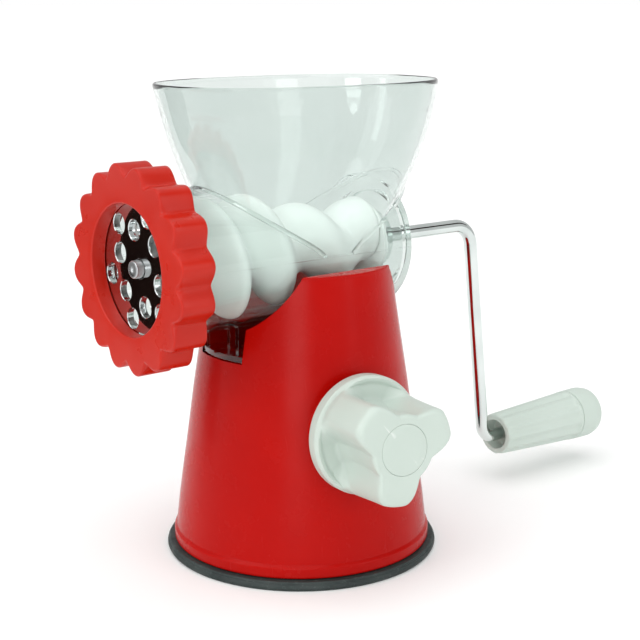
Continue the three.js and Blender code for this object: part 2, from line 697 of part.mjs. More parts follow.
add(
  crankGroup,
  "auger_drive_pin",
  plateY(square(PIN_SQUARE), -84.5, -68.2, AXIS_Z).add(
    latheY(
      [
        [0, PIN_TIP],
        [PIN_R - 0.6, PIN_TIP],
        [PIN_R, PIN_TIP + 0.6],
        [PIN_R, -80],
        [0, -80],
      ],
      20,
    ),
  ),
  "steel",
);
{
  // bent rod: a polyline in the plane X = 0 with rounded corners
  const corner = (path, a, b, c, radius) => {
    const u = a.clone().sub(b).normalize(),
      v = c.clone().sub(b).normalize();
    const half = Math.acos(u.dot(v)) / 2,
      d = radius / Math.tan(half);
    const p0 = b.clone().addScaledVector(u, d),
      p1 = b.clone().addScaledVector(v, d);
    const centre = b.clone().addScaledVector(u.clone().add(v).normalize(), radius / Math.sin(half));
    for (let i = 0; i <= 6; i++) {
      const q = p0.clone().lerp(p1, i / 6).sub(centre).normalize().multiplyScalar(radius).add(centre);
      path.push(q);
    }
  };
  const V = (y, z) => new THREE.Vector3(0, y, z);
  const a = V(1.6, AXIS_Z),
    b = V(CRANK_KNEE_Y, AXIS_Z),
    c = V(...CRANK_ELBOW),
    d = V(CRANK_END_Y, CRANK_ELBOW[1]);
  const path = [a];
  corner(path, a, b, c, 12);
  corner(path, b, c, d, 8);
  path.push(d);
  let bar = ridge(new Route(path), ROD_R, path.length - 1, 12);
  bar = bar.subtract(box(-6, -2.6, -5, 23, AXIS_Z - 6, AXIS_Z + 6)).subtract(box(2.6, 6, -5, 23, AXIS_Z - 6, AXIS_Z + 6));
  add(crankGroup, "crank_rod", bar, "chrome");
}
{
  const z = CRANK_ELBOW[1];
  const n = GRIP_FLUTES * 4;
  const profile = [[0, GRIP_Y[0]], [0.93, GRIP_Y[0]], [1, GRIP_Y[0] + 1.4], [1, 160], [1, GRIP_Y[1]], [0, GRIP_Y[1]]];
  const g = new THREE.LatheGeometry(pts(profile), n);
  const p = g.getAttribute("position");
  for (let i = 0; i < p.count; i++) {
    const x = p.getX(i),
      y = p.getY(i),
      h = Math.hypot(x, p.getZ(i));
    if (h < 0.5) continue;
    const f = (y - GRIP_Y[0]) / (GRIP_Y[1] - GRIP_Y[0]);
    const a = Math.atan2(p.getZ(i), x);
    const flute = y < GRIP_Y[0] + 0.1 || y > GRIP_Y[1] - 0.1 ? 0.5 : 0;
    const r = (GRIP_R[0] + (GRIP_R[1] - GRIP_R[0]) * f - 0.9 * (0.5 - 0.5 * Math.cos(GRIP_FLUTES * a)) - flute * 0) * h;
    p.setXYZ(i, (x / h) * r, y, (p.getZ(i) / h) * r);
  }
  const grip = solid(g, M(0, 0, z))
    .subtract(latheY(rod(ROD_R + 0.35, 120, 200), 14, z))
    .subtract(latheY(rod(8, 120, GRIP_Y[0] + 8), 24, z));
  add(crankGroup, "crank_grip", grip, "white");
  add(
    crankGroup,
    "grip_end_cap",
    latheY(
      [
        [9, GRIP_CAP_Y[0]],
        [13.9, GRIP_CAP_Y[0]],
        [14.2, GRIP_CAP_Y[0] + 1],
        [14.3, 204],
        [13.6, 208],
        [11.4, 210.6],
        [7, 211.7],
        [0, GRIP_CAP_Y[1]],
        [0, 207.5],
        [8, 206.5],
        [9, 205],
        [9, GRIP_CAP_Y[0]],
      ],
      24,
      z,
    ),
    "white",
  );
  add(crankGroup, "grip_push_nut", latheY(tubeProfile(ROD_R + 0.3, 7.2, 195, 196.2), 16, z), "steel");
}

export default root;
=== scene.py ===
import math

import bmesh
import bpy
import numpy as np
from mathutils import Matrix, Vector


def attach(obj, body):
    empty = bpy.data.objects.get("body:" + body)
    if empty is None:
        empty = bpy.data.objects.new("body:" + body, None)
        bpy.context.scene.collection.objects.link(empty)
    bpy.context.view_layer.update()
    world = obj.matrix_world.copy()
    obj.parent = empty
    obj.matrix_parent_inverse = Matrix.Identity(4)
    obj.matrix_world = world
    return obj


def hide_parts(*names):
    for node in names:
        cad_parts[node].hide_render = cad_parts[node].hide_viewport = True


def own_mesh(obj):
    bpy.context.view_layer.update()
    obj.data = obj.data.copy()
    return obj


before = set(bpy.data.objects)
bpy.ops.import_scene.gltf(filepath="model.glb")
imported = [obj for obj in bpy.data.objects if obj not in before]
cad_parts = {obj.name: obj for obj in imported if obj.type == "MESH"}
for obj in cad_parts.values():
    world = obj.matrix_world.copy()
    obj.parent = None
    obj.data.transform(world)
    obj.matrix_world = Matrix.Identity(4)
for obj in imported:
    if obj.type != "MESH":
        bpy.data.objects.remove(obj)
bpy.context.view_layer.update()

# Lengths below are millimetres in the row frame, and meshes are stored in metres.
MM = 0.001
AXIS_Z = 146.3
FINE = 1.0


def seg(n):
    return max(12, int(n * FINE) // 4 * 4)


# ---------------------------------------------------------------- mesh code
def finish_mesh(me, angle):
    me.shade_smooth()
    if angle is not None:
        me.set_sharp_from_angle(angle=math.radians(angle))


def build(name, verts, faces, angle=38.0, merge=2e-6):
    """A closed mesh object from vertices in millimetres, facing out."""
    me = bpy.data.meshes.new(name)
    me.from_pydata([tuple(float(c) * MM for c in v) for v in verts], [], [tuple(int(i) for i in f) for f in faces])
    bm = bmesh.new()
    bm.from_mesh(me)
    bmesh.ops.remove_doubles(bm, verts=bm.verts, dist=merge)
    bmesh.ops.dissolve_degenerate(bm, edges=bm.edges, dist=1e-7)
    bmesh.ops.recalc_face_normals(bm, faces=bm.faces)
    bm.to_mesh(me)
    bm.free()
    finish_mesh(me, angle)
    o = bpy.data.objects.new(name, me)
    bpy.context.scene.collection.objects.link(o)
    return o


def strip(rows, closed_rows=False, closed_cols=True, cap_start=True, cap_end=True):
    """Vertices and faces of a grid: each row is an (n, 3) array. Single-point ends become fans."""
    verts, index = [], []
    for row in rows:
        row = np.asarray(row, float)
        index.append(list(range(len(verts), len(verts) + len(row))))
        verts.extend(row.tolist())
    faces = []
    pairs = list(zip(index[:-1], index[1:])) + ([(index[-1], index[0])] if closed_rows else [])
    for a, b in pairs:
        n = max(len(a), len(b))
        last = n if closed_cols else n - 1
        for i in range(last):
            j = (i + 1) % n
            if len(a) == 1 and len(b) == 1:
                continue
            if len(a) == 1:
                faces.append((a[0], b[j], b[i]))
            elif len(b) == 1:
                faces.append((a[i], a[j], b[0]))
            else:
                faces.append((a[i], a[j], b[j], b[i]))
    return verts, faces


def rounded(points, closed=False, n=5):
    """A profile [(r, h) or (r, h, fillet radius)] with its corners turned into arcs."""
    out = []
    m = len(points)
    for i, p in enumerate(points):
        rad = p[2] if len(p) > 2 else 0
        if not rad or (not closed and i in (0, m - 1)):
            out.append((p[0], p[1]))
            continue
        a = np.array(points[i - 1][:2], float)
        b = np.array(p[:2], float)
        c = np.array(points[(i + 1) % m][:2], float)
        u, v = a - b, c - b
        lu, lv = np.linalg.norm(u), np.linalg.norm(v)
        u, v = u / lu, v / lv
        half = math.acos(max(-1, min(1, float(u @ v)))) / 2
        if half > math.pi / 2 - 0.02:
            out.append(tuple(b))
            continue
        d = min(rad / math.tan(half), 0.49 * lu, 0.49 * lv)
        rad = d * math.tan(half)
        centre = b + (u + v) / np.linalg.norm(u + v) * rad / math.sin(half)
        p0, p1 = b + u * d, b + v * d
        a0 = math.atan2(*(p0 - centre)[::-1])
        a1 = math.atan2(*(p1 - centre)[::-1])
        turn = (a1 - a0 + math.pi) % (2 * math.pi) - math.pi
        for k in range(n + 1):
            t = a0 + turn * k / n
            out.append((centre[0] + rad * math.cos(t), centre[1] + rad * math.sin(t)))
    return out


def place_z(x=0.0, y=0.0):
    return lambda a, b, h: np.stack([x + a, y + b, h], -1)


def place_y(z=AXIS_Z):
    return lambda a, b, h: np.stack([a, h, z + b], -1)


KNOB_TURN, KNOB_TILT, KNOB_Z = math.radians(-8.6), math.radians(3), 67.0
K_AXIS = np.array([math.cos(KNOB_TURN) * math.cos(KNOB_TILT), math.sin(KNOB_TURN) * math.cos(KNOB_TILT), math.sin(KNOB_TILT)])
K_ACROSS = np.array([-math.sin(KNOB_TURN), math.cos(KNOB_TURN), 0.0])
K_UP = np.cross(K_AXIS, K_ACROSS)


def place_k(a, b, h):
    return np.array([0, 0, KNOB_Z]) + a[..., None] * K_ACROSS + b[..., None] * K_UP + h[..., None] * K_AXIS


def revolve(name, profile, n=96, place=None, closed=False, angle=38.0):
    place = place or place_z()
    n = seg(n)
    t = np.arange(n) * 2 * math.pi / n
    rows = []
    for r, h in profile:
        if r < 1e-6:
            rows.append(place(np.zeros(1), np.zeros(1), np.full(1, h)))
        else:
            rows.append(place(r * np.cos(t), r * np.sin(t), np.full(n, h)))
    v, f = strip(rows, closed_rows=closed)
    return build(name, v, f, angle)


def box_mesh(name, x0, x1, y0, y1, z0, z1, bevel=0.0):
    bm = bmesh.new()
    bmesh.ops.create_cube(bm, size=1.0)
    for v in bm.verts:
        v.co = Vector((x0 + (v.co.x + 0.5) * (x1 - x0), y0 + (v.co.y + 0.5) * (y1 - y0), z0 + (v.co.z + 0.5) * (z1 - z0))) * MM
    if bevel:
        bmesh.ops.bevel(bm, geom=bm.edges[:], offset=bevel * MM, segments=2, profile=0.5, affect="EDGES")
    me = bpy.data.meshes.new(name)
    bm.to_mesh(me)
    bm.free()
    o = bpy.data.objects.new(name, me)
    bpy.context.scene.collection.objects.link(o)
    return o


def prism_y(name, outline, y0, y1):
    """Outline [(x, z)] extruded along Y."""
    n = len(outline)
    v = [(x, y0, z) for x, z in outline] + [(x, y1, z) for x, z in outline]
    f = [tuple(range(n))[::-1], tuple(range(n, 2 * n))] + [(i, (i + 1) % n, n + (i + 1) % n, n + i) for i in range(n)]
    return build(name, v, f)


def boolean(a, b, op="DIFFERENCE", keep=False):
    m = a.modifiers.new("cut", "BOOLEAN")
    m.operation, m.object, m.solver = op, b, "EXACT"
    bpy.context.view_layer.update()
    dg = bpy.context.evaluated_depsgraph_get()
    me = bpy.data.meshes.new_from_object(a.evaluated_get(dg))
    a.modifiers.clear()
    old = a.data
    a.data = me
    bpy.data.meshes.remove(old)
    if not keep:
        bpy.data.objects.remove(b, do_unlink=True)
    return a


def tidy(o, angle=35.0, weighted=True):
    """Merges the slivers a boolean leaves, marks sharp edges, and keeps flat and turned faces smooth beside the cuts."""
    bm = bmesh.new()
    bm.from_mesh(o.data)
    bmesh.ops.remove_doubles(bm, verts=bm.verts, dist=4e-6)
    bmesh.ops.dissolve_degenerate(bm, edges=bm.edges, dist=1e-6)
    bm.to_mesh(o.data)
    bm.free()
    finish_mesh(o.data, angle)
    if weighted:
        m = o.modifiers.new("normals", "WEIGHTED_NORMAL")
        m.keep_sharp = True
        m.weight = 80
    return o


def smooth_rows(rows, zs):
    """Monotone cubic through the stated rows."""
    rows = np.array(rows, float)
    x, out = rows[:, 0], []
    for c in range(1, rows.shape[1]):
        y = rows[:, c]
        h, d = np.diff(x), np.diff(y) / np.diff(x)
        m = np.zeros(len(x))
        m[0], m[-1] = d[0], d[-1]
        for i in range(1, len(x) - 1):
            m[i] = 0 if d[i - 1] * d[i] <= 0 else (h[i - 1] + h[i]) / (h[i - 1] / d[i] + h[i] / d[i - 1])
        k = np.clip(np.searchsorted(x, zs) - 1, 0, len(x) - 2)
        t = (zs - x[k]) / h[k]
        out.append((2 * t**3 - 3 * t**2 + 1) * y[k] + (t**3 - 2 * t**2 + t) * h[k] * m[k] + (-2 * t**3 + 3 * t**2) * y[k + 1] + (t**3 - t**2) * h[k] * m[k + 1])
    return np.stack(out, -1)


# ---------------------------------------------------------------- materials
def srgb(r, g, b):
    f = lambda c: c / 12.92 if c <= 0.04045 else ((c + 0.055) / 1.055) ** 2.4
    return (f(r / 255), f(g / 255), f(b / 255), 1.0)


class Mat:
    """A node material on object coordinates, with one Principled shader."""

    def __init__(self, name):
        self.m = bpy.data.materials.new(name)
        self.m.use_nodes = True
        self.nt = self.m.node_tree
        self.p = self.nt.nodes["Principled BSDF"]
        self.out = self.nt.nodes["Material Output"]
        self.co = self.add("ShaderNodeTexCoord").outputs["Object"]

    def add(self, kind, **values):
        n = self.nt.nodes.new(kind)
        for k, v in values.items():
            setattr(n, k, v)
        return n

    def link(self, a, b):
        self.nt.links.new(a, b)

    def noise(self, scale, detail=3.0, rough=0.55, stretch=None, distortion=0.0):
        co = self.co
        if stretch:
            mp = self.add("ShaderNodeMapping")
            mp.inputs["Scale"].default_value = stretch
            self.link(co, mp.inputs["Vector"])
            co = mp.outputs["Vector"]
        n = self.add("ShaderNodeTexNoise")
        n.inputs["Scale"].default_value = scale
        n.inputs["Detail"].default_value = detail
        n.inputs["Roughness"].default_value = rough
        n.inputs["Distortion"].default_value = distortion
        self.link(co, n.inputs["Vector"])
        return n.outputs["Fac"]

    def remap(self, value, a, b, lo=0.35, hi=0.65):
        n = self.add("ShaderNodeMapRange")
        n.inputs["From Min"].default_value, n.inputs["From Max"].default_value = lo, hi
        n.inputs["To Min"].default_value, n.inputs["To Max"].default_value = a, b
        self.link(value, n.inputs["Value"])
        return n.outputs["Result"]

    def mix(self, fac, a, b):
        n = self.add("ShaderNodeMix", data_type="RGBA")
        if isinstance(fac, float):
            n.inputs[0].default_value = fac
        else:
            self.link(fac, n.inputs[0])
        for sock, v in ((n.inputs[6], a), (n.inputs[7], b)):
            if isinstance(v, tuple):
                sock.default_value = v
            else:
                self.link(v, sock)
        return n.outputs[2]

    def math(self, op, a, b):
        n = self.add("ShaderNodeMath", operation=op)
        for i, v in enumerate((a, b)):
            if isinstance(v, (int, float)):
                n.inputs[i].default_value = v
            else:
                self.link(v, n.inputs[i])
        return n.outputs[0]

    def bump(self, height, strength, distance, after=None):
        n = self.add("ShaderNodeBump")
        n.inputs["Strength"].default_value = strength
        n.inputs["Distance"].default_value = distance
        self.link(height, n.inputs["Height"])
        if after is not None:
            self.link(after, n.inputs["Normal"])
        return n.outputs["Normal"]

    def edge(self, radius, samples=4):
        n = self.add("ShaderNodeBevel", samples=samples)
        n.inputs["Radius"].default_value = radius
        return n.outputs["Normal"]

    def set(self, **values):
        for k, v in values.items():
            s = self.p.inputs[k.replace("_", " ")]
            if hasattr(v, "is_output") and v.is_output:
                self.link(v, s)
            else:
                s.default_value = v


def plastic(name, base, other, edge_colour, rough, spec=0.5, bevel=0.0, grain=0.00002, wave=0.0002, mottle=22.0):
    m = Mat(name)
    big = m.noise(mottle, 4.0)
    tint = m.mix(m.remap(big, 0.0, 1.0), base, other)
    # convex edges, found by pointiness and broken into patches by noise, are mixed toward the lighter edge colour given
    # as the fourth argument
    point = m.add("ShaderNodeNewGeometry").outputs["Pointiness"]
    edge_amount = m.math("MULTIPLY", m.remap(point, 0.0, 1.0, 0.53, 0.62), m.remap(m.noise(160.0, 5.0), 0.2, 1.0, 0.4, 0.6))
    colour = m.mix(edge_amount, tint, edge_colour)
    scratch = m.noise(240.0, 6.0, 0.6, (1.0, 6.0, 0.35))
    r = m.math("ADD", m.remap(m.noise(70.0, 4.0), rough * 0.9, rough * 1.15), m.remap(scratch, 0.0, rough * 0.3, 0.62, 0.75))
    after = m.edge(bevel) if bevel else None
    n = m.bump(m.noise(60.0, 2.0), 0.35, wave, after)
    n = m.bump(m.noise(1800.0, 3.0, 0.7), 0.5, grain, n)
    m.set(Base_Color=colour, Roughness=r, Normal=n, Specular_IOR_Level=spec)
    return m.m


def metal(name, base, other, rough, brushed=None, grain=0.000012):
    m = Mat(name)
    colour = m.mix(m.remap(m.noise(45.0, 5.0), 0.0, 1.0), base, other)
    line = m.noise(700.0, 4.0, 0.6, brushed or (1.0, 0.15, 1.0))
    spots = m.noise(900.0, 2.0)
    r = m.math("ADD", m.remap(m.noise(90.0, 5.0), rough * 0.7, rough * 1.4), m.remap(line, 0.0, rough * 0.8, 0.55, 0.75))
    n = m.bump(line, 0.3, grain)
    n = m.bump(spots, 0.12, grain, n)
    m.set(Base_Color=colour, Roughness=r, Normal=n, Metallic=1.0)
    return m.m


def clear(name, tint, other, rough):
    """Clear moulded plastic: bends and mirrors light, and lets lamps through to what is inside."""
    m = Mat(name)
    colour = m.mix(m.remap(m.noise(14.0, 3.0), 0.0, 1.0), tint, other)
    r = m.remap(m.noise(50.0, 5.0), rough * 0.5, rough * 1.6)
    n = m.bump(m.noise(26.0, 2.0, 0.4, (1.0, 1.0, 0.55)), 0.25, 0.0005)
    n = m.bump(m.noise(330.0, 3.0), 0.15, 0.00003, n)
    m.set(Base_Color=colour, Roughness=r, Normal=n, Transmission_Weight=1.0, IOR=1.13, Coat_Weight=1.0, Coat_IOR=1.46, Coat_Roughness=0.03)
    path = m.add("ShaderNodeLightPath")
    through = m.add("ShaderNodeBsdfTransparent")
    through.inputs["Color"].default_value = (0.90, 0.93, 0.91, 1.0)
    mix = m.add("ShaderNodeMixShader")
    m.link(path.outputs["Is Shadow Ray"], mix.inputs[0])
    m.link(m.p.outputs[0], mix.inputs[1])
    m.link(through.outputs[0], mix.inputs[2])
    m.link(mix.outputs[0], m.out.inputs["Surface"])
    return m.m


RED = plastic("red_shell", srgb(175, 8, 2), srgb(168, 6, 2), srgb(190, 38, 24), 0.25, 0.11, bevel=0.0007)
RING = plastic("red_ring", srgb(186, 30, 11), srgb(178, 26, 9), srgb(212, 84, 60), 0.3, 0.28, grain=0.00003)
WHITE = plastic("white_plastic", srgb(192, 204, 196), srgb(187, 200, 191), srgb(208, 216, 210), 0.36, 0.4, mottle=12.0)
AUGER = plastic("white_screw", srgb(238, 242, 240), srgb(232, 237, 234), srgb(243, 245, 243), 0.4, 0.4, mottle=14.0)
ACETAL = plastic("acetal", srgb(232, 230, 220), srgb(224, 222, 211), srgb(240, 238, 230), 0.38, 0.4)
BLACK = plastic("black_plastic", srgb(44, 47, 48), srgb(38, 41, 42), srgb(88, 90, 90), 0.5, 0.4, grain=0.00004)
STEEL = metal("screw_steel", srgb(196, 199, 200), srgb(176, 179, 180), 0.24)
PLATE = metal("plate_steel", srgb(216, 219, 219), srgb(198, 202, 202), 0.07, (0.4, 1.0, 1.0))
CHROME = metal("crank_chrome", srgb(222, 228, 226), srgb(208, 215, 213), 0.08)
CLEAR = clear("clear_plastic", (0.77, 0.82, 0.80, 1.0), (0.74, 0.795, 0.775, 1.0), 0.025)


def rubber():
    m = Mat("rubber")
    colour = m.mix(m.remap(m.noise(55.0, 5.0), 0.0, 1.0), srgb(24, 36, 36), srgb(40, 52, 50))
    dust = m.remap(m.noise(500.0, 4.0, 0.7), 0.0, 0.22, 0.56, 0.72)
    colour = m.mix(dust, colour, srgb(120, 128, 124))
    n = m.bump(m.noise(900.0, 3.0, 0.7), 0.5, 0.00006)
    m.set(Base_Color=colour, Roughness=m.remap(m.noise(80.0, 4.0), 0.5, 0.75), Normal=n)
    return m.m


RUBBER = rubber()


def give(o, mat, slot, body, *nodes):
    o.data.materials.clear()
    o.data.materials.append(mat)
    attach(o, body)
    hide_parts(*nodes)
    return o


# ---------------------------------------------------------------- base shell
CONE = [[12, 61.1], [20, 60.2], [40, 57.5], [60, 54.6], [80, 51.8], [100, 48.7], [120, 45.6], [136.6, 43.3]]


def seat(grow, top, n=28):
    R, w = 35 + grow, 16 + grow
    a0, a1 = -math.acos(w / R), math.asin((140 - AXIS_Z) / 35)
    right = [(w, 99.5 - grow)] + [(R * math.cos(a0 + (a1 - a0) * i / n), AXIS_Z + R * math.sin(a0 + (a1 - a0) * i / n)) for i in range(n + 1)]
    right.append((R * math.cos(a1), top))
    return right + [(-x, z) for x, z in reversed(right)]


zs = np.arange(12.6, 136.7, 4.0)
cone = [(float(r[0]), float(z)) for z, r in zip(zs, smooth_rows(CONE, zs))]
shell = revolve(
    "base_shell",
    rounded([(0, 4.6), (62.4, 4.6, 0.9), (62.4, 9.6, 1.0), (61.15, 10.9, 0.5)])
    + [(61.05, 11.7)] + cone
    + rounded([cone[-1], (42.9, 138.3), (42.9, 140.0, 2.2), (39.0, 140.0), (0, 140.0)], n=6)[1:],
    192,
)
cone_cut = revolve("cut_cone", [(0, 3), (59.4, 3), (59.4, 11), (52.0, 60), (40.8, 136.4), (0, 136.4)], 128)
boss = revolve("cut_boss", rounded([(0, 40), (23, 40), (23, 55.8, 1.2), (0, 55.8)]), 96, place_k)
boolean(boss, cone_cut, keep=True)
boolean(cone_cut, prism_y("cut_seat_wall", seat(2.6, 150), -80, 80))
boolean(shell, cone_cut)
boolean(shell, boss, "UNION")
boolean(shell, prism_y("cut_seat", seat(0, 160), -80, 80))
for k in range(4):
    a = math.pi / 4 + k * math.pi / 2
    boolean(shell, revolve("post", [(2.3, 9), (4.6, 9), (4.6, 38), (2.3, 38)], 32, place_z(53 * math.cos(a), 53 * math.sin(a)), closed=True), "UNION")
boolean(shell, revolve("bearing", rounded([(6.5, 42.5), (10, 42.5), (10, 53), (6.5, 53)], True), 48, place_k, closed=True), "UNION")
boolean(shell, revolve("bore", [(0, 41), (6.5, 41), (6.5, 60), (0, 60)], 48, place_k))
for s in (-1, 1):
    boolean(shell, box_mesh("rail", *sorted((13.3 * s, 16.6 * s)), -41, 40, 103, 105.8, 0.3), "UNION")
boolean(shell, box_mesh("stop", -16.3, 16.3, 32.2, 36, 99.0, 103, 0.3), "UNION")
tidy(shell)
give(shell, RED, "red_shell", "base", "base_housing")

pad = revolve(
    "suction_pad_rubber",
    rounded([(0, 0), (60.5, 0), (61.2, 0.5), (62.2, 0.5), (62.9, 0), (65.2, 0, 0.5), (66.0, 1.5, 1.0), (65.6, 2.9, 0.5), (65.15, 3.25, 0.2), (65.2, 3.6, 0.3), (64.6, 4.3, 0.4), (59.6, 4.3), (58.4, 2.1), (0, 2.1)]),
    192,
)
give(pad, RUBBER, "rubber", "base", "suction_pad")

# ---------------------------------------------------------------- knob
n_k = seg(288)
ang = np.arange(n_k) * 2 * math.pi / n_k
off = np.abs((np.degrees(ang) - 20 + 60) % 120 - 60)  # degrees from the middle of the nearest lobe
off = np.clip((off - 11) / 34, 0, 1)
lobe_w = 1 - off * off * (3 - 2 * off)
skirt = rounded([(27.0, 56.3), (27.4, 56.7, 0.3), (27.4, 61.6, 0.9), (26.3, 63.2)], n=4)
# over a lobe the side rises in one dome, over a valley it steps in across a recess and climbs a concave wall
lobe_side = rounded([(26.3, 63.2), (26.75, 66.5, 3), (26.5, 72.0, 6), (26.1, 80.0, 8), (25.7, 92.2, 3.2), (16.0, 92.2)], n=7)
valley_side = rounded([(26.3, 63.2), (24.6, 63.0, 0.4), (23.9, 61.9, 0.6), (16.2, 61.9, 2.0), (14.6, 70.0, 6), (14.8, 80.0, 8), (15.8, 92.2, 2.6), (12.3, 92.2)], n=7)


def resample(line, count, split):
    """Evenly spaced along a profile; split is not used."""
    line = np.array(line, float)
    d = np.concatenate([[0], np.cumsum(np.linalg.norm(np.diff(line, axis=0), axis=1))])
    t = np.linspace(0, d[-1], count)
    return np.stack([np.interp(t, d, line[:, 0]), np.interp(t, d, line[:, 1])], -1)


def by_height(line, hs):
    """r at each share of the way along the profile, between its recess, wall and rim."""
    return resample(line, hs, None)


# both profiles are cut at the same landmarks: recess floor, wall, front rounding
def parts(line, marks, counts):
    line = np.array(line, float)
    d = np.concatenate([[0], np.cumsum(np.linalg.norm(np.diff(line, axis=0), axis=1))])
    t = []
    for (a, b), c in zip(zip(marks[:-1], marks[1:]), counts):
        t.extend(np.linspace(a, b, c, endpoint=False))
    t.append(marks[-1])
    t = np.array(t) * d[-1]
    return np.stack([np.interp(t, d, line[:, 0]), np.interp(t, d, line[:, 1])], -1)


def share_at(line, test):
    line = np.array(line, float)
    d = np.concatenate([[0], np.cumsum(np.linalg.norm(np.diff(line, axis=0), axis=1))])
    k = next(i for i, p in enumerate(line) if test(p))
    return d[k] / d[-1]


lobe_marks = [0, share_at(lobe_side, lambda p: p[1] > 67.0), share_at(lobe_side, lambda p: p[1] > 89.5), 1]
valley_marks = [0, share_at(valley_side, lambda p: p[1] > 67.0), share_at(valley_side, lambda p: p[1] > 91.0), 1]
L = parts(lobe_side, lobe_marks, [18, 14, 12])
V = parts(valley_side, valley_marks, [18, 14, 12])
rows = []
for r, h in [(0, 77.4), (4.4, 77.4), (4.4, 56.3), (9.5, 56.3), (9.5, 60.5), (24.6, 60.5), (24.6, 56.3)]:
    rows.append(place_k(np.zeros(1), np.zeros(1), np.full(1, h)) if r == 0 else place_k(r * np.cos(ang), r * np.sin(ang), np.full(n_k, h)))
for r, h in skirt[:-1]:
    rows.append(place_k(r * np.cos(ang), r * np.sin(ang), np.full(n_k, h)))
for (lr, lh), (vr, vh) in zip(L, V):
    r, h = vr + (lr - vr) * lobe_w, vh + (lh - vh) * lobe_w
    rows.append(place_k(r * np.cos(ang), r * np.sin(ang), h))
for r, h in rounded([(12.0, 92.2), (11.55, 92.2, 0.12), (11.55, 90.0), (5, 90.0), (5, 80.4), (0, 80.4)], n=3)[0:]:
    rows.append(place_k(np.zeros(1), np.zeros(1), np.full(1, h)) if r < 1e-6 else place_k(r * np.cos(ang), r * np.sin(ang), np.full(n_k, h)))
v, f = strip(rows)
knob = build("knob_body", v, f, 50)
give(knob, WHITE, "white_plastic", "cam", "knob")
cap = revolve("knob_cover", rounded([(0, 90.3), (11.47, 90.3, 0.1), (11.47, 92.2, 0.3), (8, 92.45, 3), (0, 92.5)], n=5), 96, place_k)
give(cap, WHITE, "white_plastic", "cam", "knob_cap")

# ---------------------------------------------------------------- head: clear hopper, barrel and foot in one piece
HOPPER = [[146.3, 37.5, 32.7, -3], [152, 40.5, 32.9, -2.8], [159, 45.5, 33.5, -2.2], [166, 49.3, 34.6, -1.5], [176, 54.6, 36.4, -0.5], [188, 60.6, 38.8, 0.3], [200, 65.3, 41.2, 0.5], [212, 68.4, 43.6, 0.3], [224.3, 70.7, 46.1, -0.5]]


def oval(name, inset, z0, z1, n=176):
    """Loft of rounded ovals; inset is a list [(z, inset)] read in steps."""
    n = seg(n)
    t = np.arange(n) * 2 * math.pi / n
    f = lambda c: np.sign(c) * np.abs(c) ** (2 / 2.5)
    levels = sorted(set(np.round(np.concatenate([np.arange(z0, min(z1, 224.3), 3.0), [min(z1, 224.3)]] + [[z] for z, _ in inset if z0 < z < z1]), 4)))
    rows = []
    for i, z in enumerate(levels):
        y, x, c = smooth_rows(HOPPER, np.array([z]))[0]
        d = np.interp(z, [q[0] for q in inset], [q[1] for q in inset])
        rows.append(np.stack([f(np.cos(t)) * (x - d), c + f(np.sin(t)) * (y - d), np.full(n, z)], -1))
    if z1 > 224.3:
        last = rows[-1].copy()
        last[:, 2] = z1
        rows.append(last)
    centre = lambda row: np.array([[0, row[:, 1].mean(), row[0, 2]]])
    v, fc = strip([centre(rows[0])] + rows + [centre(rows[-1])])
    return build(name, v, fc, 50)


head = oval("clear_head", [(146.3, 0), (222.9, 0), (223.7, 0.25), (224.3, 0.9)], 146.3, 224.3)
boolean(head, revolve("barrel", rounded([(0, -79.4), (32.5, -79.4), (32.5, 42, 1.2), (0, 42)], n=5), 160, place_y()), "UNION")
boolean(head, revolve("thread_core", rounded([(0, -87.5), (34.4, -87.5, 0.6), (34.4, -78.9, 0.6), (32.3, -78.3), (0, -78.3)], n=3), 160, place_y()), "UNION")
boolean(head, revolve("rear_flange", rounded([(0, 39), (26.5, 39), (26.5, 46.5, 0.7), (0, 46.5)], n=4), 128, place_y()), "UNION")


def helix_ridge(name, r, lead, y0, y1, phase, rad, steps=90, sides=12):
    rows, k = [], np.arange(sides) * 2 * math.pi / sides
    for i in range(steps + 1):
        y = y0 + (y1 - y0) * i / steps
        a = 2 * math.pi * (y - y0) / lead + phase
        fade = min(1.0, 6.0 * min(i, steps - i) / steps + 0.25)
        rr, yy = r + rad * fade * np.cos(k), y + rad * np.sin(k)
        rows.append(np.stack([rr * math.cos(a), yy, AXIS_Z + rr * math.sin(a)], -1))
    c = lambda row: row.mean(0, keepdims=True)
    v, f = strip([c(rows[0])] + rows + [c(rows[-1])])
    return build(name, v, f)


boolean(head, helix_ridge("thread", 34.3, -7, -85.8, -80.6, 0, 1.4), "UNION")
foot = box_mesh("foot", -15.6, 15.6, -50, 31.8, 99.9, 102.6, 0.35)
boolean(foot, revolve("foot_round", rounded([(0, 90), (47.9, 90), (47.9, 110), (0, 110)]), 128), "INTERSECT")
boolean(head, foot, "UNION")
for x0, x1, z1 in ((10.4, 12.9, 119), (-12.9, -10.4, 119), (-1.2, 1.2, 116)):
    boolean(head, box_mesh("web", x0, x1, -45.5 if z1 > 118 else -42, 31.8, 102, z1, 0.25), "UNION")
for s in (-1, 1):
    boolean(head, box_mesh("parting", *sorted((30.6 * s, 33.0 * s)), -78.0, 41.0, 145.7, 146.8, 0.25), "UNION")
